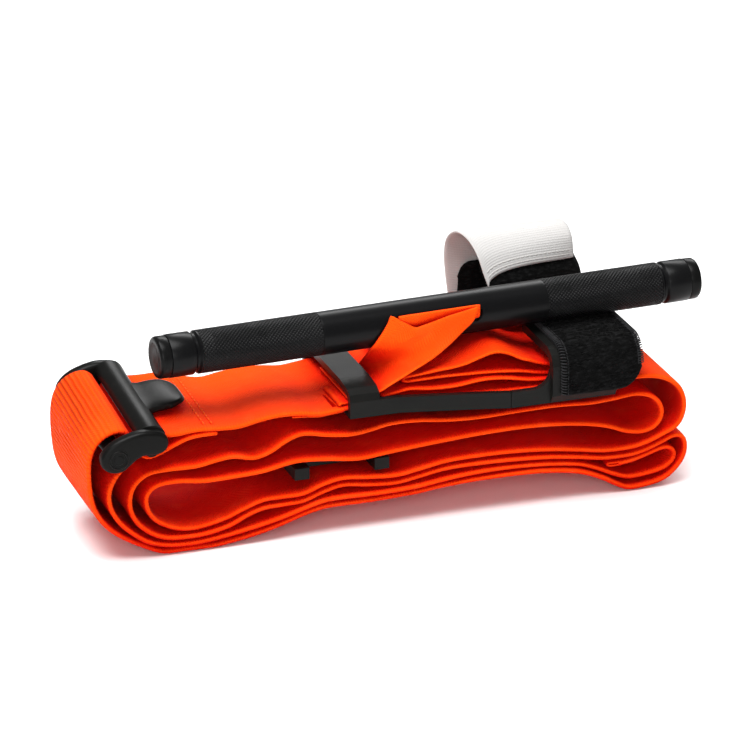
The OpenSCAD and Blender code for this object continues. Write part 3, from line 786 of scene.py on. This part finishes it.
# Part that crosses the slot and shows above the fold, and the part hidden under the band.
cross = spline([[-6.95, 4.3], [-7.05, 3.2], [-7.0, 2.0], [-6.7, 1.0], [-5.8, 0.5], [-3, 0.4],
                [0, 0.4], [3, 0.3], [5.6, 0.1], [6.9, -0.5], [7.35, -1.9], [7.25, -4.8]], 6)
cols = np.linspace(-12.4, 12.4, 25)
rows = [np.stack([cols, np.full_like(cols, y), np.full_like(cols, z)], 1) for y, z in cross]
cross_grid = from_rod(np.stack(rows))
through = sheet_data(cross_grid, RIBBON_T)
far_left_edge = [[3.4, 2.4, 51.4], [6.5, 4.2, 49.4], [11, 6.6, 47.8], [17, 9.6, 47.4],
                 [24, 11.2, 48.2], [29, 11.8, 49.2]]
far_right_edge = [[26.6, 3.4, 51.4], [26.8, 4.2, 50.2], [27.2, 4.6, 49.7], [28.4, 5.2, 49.7],
                  [30, 6.4, 49.8], [32, 8.0, 49.8]]
far_sheet = sheet_data(ruled(far_left_edge, far_right_edge, 40, 24), RIBBON_T)
under_path = [[-31, 36.5], [-27, 36.2], [-23, 35.75], [-19, 36.05], [-15.8, 36.3]]
under_run, _, _ = strip_grid(under_path, 24.0, 0.8, COLUMNS)
under_run[:, :, 1] -= 5.8
rib = merge([near, through, far_sheet, sheet_data(under_run, RIBBON_T)])
ribbon = mesh_object("ribbon", rib[0], rib[1], ribbon_cloth, rib[2])
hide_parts("windlass_ribbon", "ribbon_anchor_run")
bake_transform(ribbon)

# ---------------------------------------------------------------- plate, clip, keeper
for node, width in (("stabiliser_plate", 0.0006), ("windlass_clip", 0.0006), ("strap_keeper", 0.0005)):
    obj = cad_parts[node]
    mod = obj.modifiers.new("edges", "BEVEL")
    mod.width, mod.segments, mod.limit_method, mod.angle_limit = width, 3, "ANGLE", math.radians(32)
    obj.data.materials.clear()
    obj.data.materials.append(plastic_black)
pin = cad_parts["buckle_pin"]
pin.data.materials.clear()
pin.data.materials.append(cap_black)

# ---------------------------------------------------------------- pile covers on the prongs
PRONG_Y, BEND_R, BEND_Z = 23.2, 6.0, 42.2
COVER = BEND_R + 0.72


def cover_line(tip, radius):
    """(y, z) from the foot of the prong's wall up, round the bend and along its top."""
    pts = [[-(PRONG_Y - BEND_R) - radius, z] for z in np.linspace(34.9, BEND_Z, 10)[:-1]]
    pts += [[-(PRONG_Y - BEND_R) - radius * math.cos(a), BEND_Z + radius * math.sin(a)]
            for a in np.linspace(0, math.pi / 2, 14)]
    pts += [[y, BEND_Z + radius] for y in np.linspace(-(PRONG_Y - BEND_R), tip, 16)[1:]]
    return np.array(pts)


def loops_on(grid, normal, count, seed):
    """Short loops of yarn standing on the pile, mostly lying across it."""
    r = random.Random(seed)
    nu, nv = grid.shape[:2]
    parts = []
    for _ in range(count):
        i, j = r.uniform(0.5, nu - 2.5), r.uniform(1.2, nv - 2.8)
        a, b = int(i), int(j)
        p = grid[a, b] * (1 - i + a) + grid[a + 1, b] * (i - a)
        p = p + (grid[a, b + 1] - grid[a, b]) * (j - b)
        n = normal[a, b]
        x = np.array([1.0, 0, 0])
        d = unit(x + 0.5 * r.uniform(-1, 1) * np.cross(n, x))
        half, tall = r.uniform(0.35, 0.7), r.uniform(0.10, 0.26)
        pts = [p + d * half * math.cos(t) + n * (0.62 + tall * math.sin(t))
               for t in np.linspace(math.pi, 0, 5)]
        parts.append(tube_data(pts, 0.10, 4))
    return merge(parts)


CORNER_R = 7.0
COVER_W, COVER_ROWS, COVER_COLS = 24.0, 72, 46


def pile_cover(name, x_from, tip, flip, node, edge_node, seed):
    """Cover with its loops and overlocked edges; flip puts it on the far prong, square-cornered."""
    whole = cover_line(tip, COVER)
    cols = np.linspace(x_from + 0.1, x_from + COVER_W - 0.1, COVER_COLS)
    g = np.zeros((COVER_ROWS, COVER_COLS, 3))
    g[:, :, 0] = cols[None, :]
    for j, x in enumerate(cols):
        into = 0.0 if flip else np.clip(x - (x_from + COVER_W - CORNER_R), 0, CORNER_R)
        up = CORNER_R - math.sqrt(max(0.0, CORNER_R ** 2 - into ** 2))
        g[:, j, 1:] = resample(whole[::-1], COVER_ROWS, arc(whole)[-1] - up)[::-1]
    r = random.Random(seed)
    bumps = np.array([[r.uniform(-1, 1) for _ in range(COVER_COLS)] for _ in range(COVER_ROWS)])
    crown = 1.05 + 0.28 * np.sin(math.pi * np.linspace(0, 1, COVER_COLS))[None, :] + 0.07 * bumps
    if flip:
        g[:, :, 1] *= -1
    outward = unit(np.cross(np.gradient(g, axis=0), np.gradient(g, axis=1)))
    if outward[5, 5, 1] * (1 if flip else -1) < 0:
        outward = -outward
    base = sheet_data(g, crown)
    fuzz = loops_on(g, outward, 1100 if not flip else 850, seed)
    data = merge([base, fuzz])
    cover = mesh_object(name, data[0], data[1], pile_black)
    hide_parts(node)
    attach(cover, "band")
    turns = []
    per_turn, count = 9, 44
    for x, inward in ((x_from - 0.05, 1), (x_from + COVER_W + 0.05, -1)):
        start = 0.0 if flip or inward == 1 else CORNER_R
        path = resample(whole[::-1], per_turn * count, arc(whole)[-1] - start)[::-1]
        if flip:
            path = path * np.array([-1, 1])
        tang = unit(np.gradient(path, axis=0))
        nrm = np.stack([-tang[:, 1], tang[:, 0]], 1)
        if nrm[5, 0] * (1 if flip else -1) < 0:
            nrm = -nrm
        ang = np.arange(len(path)) * 2 * math.pi / per_turn
        wide, tall = 0.92, 0.72
        xs = x + inward * (0.30 + wide * np.cos(ang))
        off = tall * np.sin(ang)
        pts = np.stack([xs, path[:, 0] + nrm[:, 0] * off, path[:, 1] + nrm[:, 1] * off], 1)
        turns.append(tube_data(pts, 0.17, 5))
        chain = np.stack([np.full(len(path), x + inward * 1.25), path[:, 0] + nrm[:, 0] * 0.66,
                          path[:, 1] + nrm[:, 1] * 0.66], 1)[::5]
        chain[::2, 0] += 0.14
        turns.append(tube_data(chain, 0.13, 5))
    t = merge(turns)
    edging = mesh_object(name + "_overlock", t[0], t[1], thread_black)
    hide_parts(edge_node)
    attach(edging, "band")


pile_cover("near_cover", 49.0, 2.0, False, "near_pile_cover", "near_cover_edging", 11)
pile_cover("far_cover", 34.0, -8.0, True, "far_pile_cover", "far_cover_edging", 12)

# ---------------------------------------------------------------- time strap
TAPE_T = 0.75
tape_left = [[32, 25.9, 36], [32, 25.9, 43], [32, 25.9, 49], [31.4, 26.4, 55], [30.8, 26.4, 62],
             [31.0, 25.2, 67.8], [32.2, 20.9, 71.4], [33.8, 15.6, 70.9], [35.4, 11.5, 67.2],
             [36.6, 8.8, 61.8], [37.5, 7.2, 58.2]]
tape_right = [[63, 25.9, 36], [63, 25.9, 43], [63, 25.9, 49], [63.2, 26.4, 55], [63.6, 26.6, 61.5],
              [64.0, 25.6, 67], [64.6, 22.2, 70.7], [65.3, 17.8, 71.1], [65.8, 15.0, 68.8],
              [66.1, 14.1, 65.6], [66.2, 13.8, 61.9]]
TAPE_ROWS, TAPE_COLS = 96, 36
tape_cols = []
for j in range(TAPE_COLS):
    w = j / (TAPE_COLS - 1)
    pts = spline(np.array(tape_left) * (1 - w) + np.array(tape_right) * w, 10)
    bow = 3.0 * math.sin(math.pi * math.sqrt(w))
    tape_cols.append(resample(pts, TAPE_ROWS, arc(pts)[-1] - bow))
tape_grid = np.stack(tape_cols, 1)
tape_mesh = sheet_data(tape_grid, TAPE_T)
time_tape = mesh_object("time_tape", tape_mesh[0], tape_mesh[1], tape_white, tape_mesh[2])
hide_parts("time_strap", "time_strap_base")
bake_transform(time_tape)

tape_normal = unit(np.cross(np.gradient(tape_grid, axis=0), np.gradient(tape_grid, axis=1)))
if tape_normal[90, 10, 1] > 0:
    tape_normal = -tape_normal
end_rows = []
for back in (1.1, 2.4):
    last, middle_col = TAPE_ROWS - 1, TAPE_COLS // 2
    step = arc(tape_grid[:, middle_col])[-1] / last
    i = last - back / step
    a = int(i)
    line = tape_grid[a] * (1 - i + a) + tape_grid[a + 1] * (i - a)
    line = line[1:-1] + tape_normal[a, 1:-1] * (TAPE_T / 2)
    end_rows.append(stitch_row(resample(line, 80), 1.5, 1.25, 0.15, tape_normal[a, middle_col] * 0.1))
t = merge(end_rows)
tape_thread = mesh_object("time_tape_thread", t[0], t[1], thread_white)
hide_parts("time_strap_stitches")
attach(tape_thread, "time_flap")

base_rows = [stitch_row([[x, 25.9 + TAPE_T / 2, z] for x in np.linspace(34, 61, 40)], 2.0, 1.6, 0.2,
                        (0, 0.14, 0)) for z in (38.2, 45.2)]
t = merge(base_rows)
base_thread = mesh_object("time_base_thread", t[0], t[1], thread_white)
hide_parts("time_strap_base_stitch")
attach(base_thread, "band")

hook_left = [[36.3, 10.4, 63.0], [37.2, 8.6, 59.6], [38.2, 8.4, 56.0], [38.6, 10.2, 52.8],
             [39, 13.6, 51.2], [39, 18, 50.9]]
hook_right = [[66.0, 16.0, 65.4], [66.7, 15.0, 62.4], [67.9, 13.8, 59.2], [68.6, 13.6, 55.6],
              [68.6, 15.6, 52.2], [68.6, 19.4, 50.9]]


def pushed_back(t, w):
    """Tucks the hook patch behind the end of the tape it is sewn to."""
    out = np.zeros((t.shape[0], w.shape[1], 3))
    start = (1 - ease(t, 0.0, 0.3))[:, :, 0]
    out[:, :, 1] += 0.55 * start
    return out


hook = sheet_data(ruled(hook_left, hook_right, 44, 34, pushed_back), 0.9)
hook_patch = mesh_object("hook_patch", hook[0], hook[1], hook_black, hook[2])
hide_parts("time_strap_hook")
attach(hook_patch, "time_flap")

corner = 4.2
xs = np.linspace(34.6, 60.2, 34)
ups = np.linspace(0, 1, 22)
g = np.zeros((len(ups), len(xs), 3))
for j, x in enumerate(xs):
    inset = max(0.0, corner - min(x - xs[0], xs[-1] - x))
    top = 59.8 - (corner - math.sqrt(max(0.0, corner ** 2 - inset ** 2)))
    g[:, j] = np.stack([np.full_like(ups, x), np.full_like(ups, 25.0), 50.4 + (top - 50.4) * ups], 1)
back = sheet_data(g, 0.85)
backing = mesh_object("tape_backing", back[0], back[1], pile_black, back[2])
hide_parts("time_strap_backing")
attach(backing, "time_flap")

# ---------------------------------------------------------------- buckle
CHEEK_IN, CHEEK_OUT = 20.6, 24.0
CHEEK = [[-89.1, 35.0], [-88.7, 32.0], [-86.2, 30.1], [-82.9, 30.1], [-80.2, 32.1], [-77.2, 34.0],
         [-72.6, 34.1], [-70.1, 35.3], [-69.4, 37.8], [-70.6, 40.0], [-73.4, 41.1], [-78.0, 41.3],
         [-83.4, 39.9], [-86.9, 37.9]]


def closed_spline(points, steps):
    """Smooth closed outline through the points."""
    return spline(np.array(points + points[:3]), steps)[steps:steps * (len(points) + 1)]


def circle(centre, radius, count):
    """Points (x, z) on a circle."""
    return [[centre[0] + radius * math.cos(a), centre[1] + radius * math.sin(a)]
            for a in np.linspace(0, 2 * math.pi, count + 1)[:-1]]


cheek = closed_spline(CHEEK, 7)
PIN_AT, ANCHOR_AT = (-84.1, 34.1), (-73.5, 34)
parts = []
for sy in (-1, 1):
    lo, hi = sorted((sy * CHEEK_IN, sy * CHEEK_OUT))
    parts.append(plate_data(cheek, lo, hi, 1, 1.1))
    ring = np.array([[x, sy * CHEEK_OUT, z] for x, z in circle(PIN_AT, 2.6, 39)])
    parts.append(tube_data(ring, 0.32, 8, True))
    well = circle(PIN_AT, 1.5, 31)
    lo, hi = sorted((sy * (CHEEK_OUT - 0.5), sy * (CHEEK_OUT + 0.18)))
    parts.append(plate_data(well, lo, hi, 1, 0.25))


def bar(section, ys, flare):
    """A bar along Y whose section grows by flare(y)."""
    section = np.asarray(section, float)
    mid = section.mean(0)
    rings = []
    for y in ys:
        p = mid + (section - mid) * (1 + flare(y))
        rings.append(np.stack([p[:, 0], np.full(len(p), y), p[:, 1]], 1))
    m = len(section)
    faces = [(k * m + i, k * m + (i + 1) % m, (k + 1) * m + (i + 1) % m, (k + 1) * m + i)
             for k in range(len(ys) - 1) for i in range(m)]
    faces += [tuple(range(m - 1, -1, -1)), tuple((len(ys) - 1) * m + i for i in range(m))]
    return np.vstack(rings), faces, None, None


top_bar = [[-77.9, 38.5], [-77.8, 39.7], [-76.9, 40.9], [-75.2, 41.7], [-73.2, 41.8], [-71.4, 41.1],
           [-70.2, 39.9], [-69.9, 38.8], [-70.8, 38.3], [-74, 38.3], [-77, 38.3]]
section = closed_spline(top_bar, 4)
ys = np.linspace(-21.2, 21.2, 44)
parts.append(bar(section, ys, lambda y: 0.04 * ease(abs(y), 15.5, 20.6)))
parts.append(bar(circle(ANCHOR_AT, 2, 32), np.linspace(-CHEEK_IN, CHEEK_IN, 12), lambda y: 0.0))
TAB_HALF, TAB_T = 7.9, 2.3
TAB_ROOT, TAB_TIP = -73.5, -59.2
across = np.sin(np.linspace(-math.pi / 2, math.pi / 2, 31))
along = np.linspace(0, 1, 26) ** 0.85
tab_end = TAB_TIP - 4.4 * np.abs(across) ** 4
tab = np.zeros((len(along), len(across), 3))
tab[:, :, 0] = TAB_ROOT + (tab_end - TAB_ROOT)[None, :] * along[:, None]
tab[:, :, 1] = across[None, :] * (TAB_HALF + 1.8 * (1 - ease(tab[:, :, 0], -73, -68.6)))
tab[:, :, 2] = (39.95 + ease(tab[:, :, 0], -72, -63) * 0.75 - ease(tab[:, :, 0], -63, -58.5) * 0.45
                - 0.45 * np.abs(across[None, :]) ** 3)
tab_thick = TAB_T * (1 - 0.22 * np.abs(across[None, :]) ** 10) * (1 - 0.18 * along[:, None] ** 14)
parts.append(sheet_data(tab, tab_thick))
b = merge(parts)
buckle = mesh_object("buckle_body", tilt(b[0]), b[1], plastic_black, sharp=50)
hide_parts("buckle_frame")
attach(buckle, "band")

# ---------------------------------------------------------------- studio
floor_me = bpy.data.meshes.new("floor")
floor_me.from_pydata([(-3, -3, 0), (3, -3, 0), (3, 3, 0), (-3, 3, 0)], [], [(0, 1, 2, 3)])
floor = bpy.data.objects.new("floor", floor_me)
bpy.context.scene.collection.objects.link(floor)
floor.location.z = -0.0002
fg = Graph("studio_white")
fg.shade((0.93, 0.93, 0.93), fg.math("ADD", 0.6, fg.math("MULTIPLY", fg.noise(4.0), 0.1)))
floor_me.materials.append(fg.mat)


def softbox(name, at, size, watts, aim=(0, 0, 0.03)):
    light = bpy.data.lights.new(name, "AREA")
    light.shape, light.size, light.size_y, light.energy = "RECTANGLE", size[0], size[1], watts
    obj = bpy.data.objects.new(name, light)
    obj.location = at
    obj.rotation_euler = (Vector(aim) - Vector(at)).to_track_quat("-Z", "Y").to_euler()
    bpy.context.scene.collection.objects.link(obj)


softbox("key", (-0.25, -0.15, 1.1), (0.9, 0.7), 21)
softbox("front", (-0.5, -1.1, 0.5), (0.7, 0.5), 6)
softbox("back", (0.5, 0.9, 0.8), (0.8, 0.4), 7)
world = bpy.data.worlds.new("studio")
bpy.context.scene.world = world
world.use_nodes = True
world.node_tree.nodes["Background"].inputs[0].default_value = (1, 1, 1, 1)
world.node_tree.nodes["Background"].inputs[1].default_value = 0.27
bpy.context.scene.view_settings.view_transform = "Standard"

AZIMUTH, ELEVATION, DISTANCE = math.radians(19.3), math.radians(22.0), 1.4
sight = Vector((math.sin(AZIMUTH) * math.cos(ELEVATION), math.cos(AZIMUTH) * math.cos(ELEVATION),
                -math.sin(ELEVATION)))
look_at = Vector(to_frame([[2.1, 6.1, 35.9]])[0])
cam_data = bpy.data.cameras.new("camera")
cam_data.sensor_width, cam_data.lens, cam_data.clip_end = 36.0, 231.8, 20.0
camera = bpy.data.objects.new("camera", cam_data)
camera.location = look_at - sight * DISTANCE
camera.rotation_euler = sight.to_track_quat("-Z", "Y").to_euler()
bpy.context.scene.collection.objects.link(camera)
bpy.context.scene.camera = camera
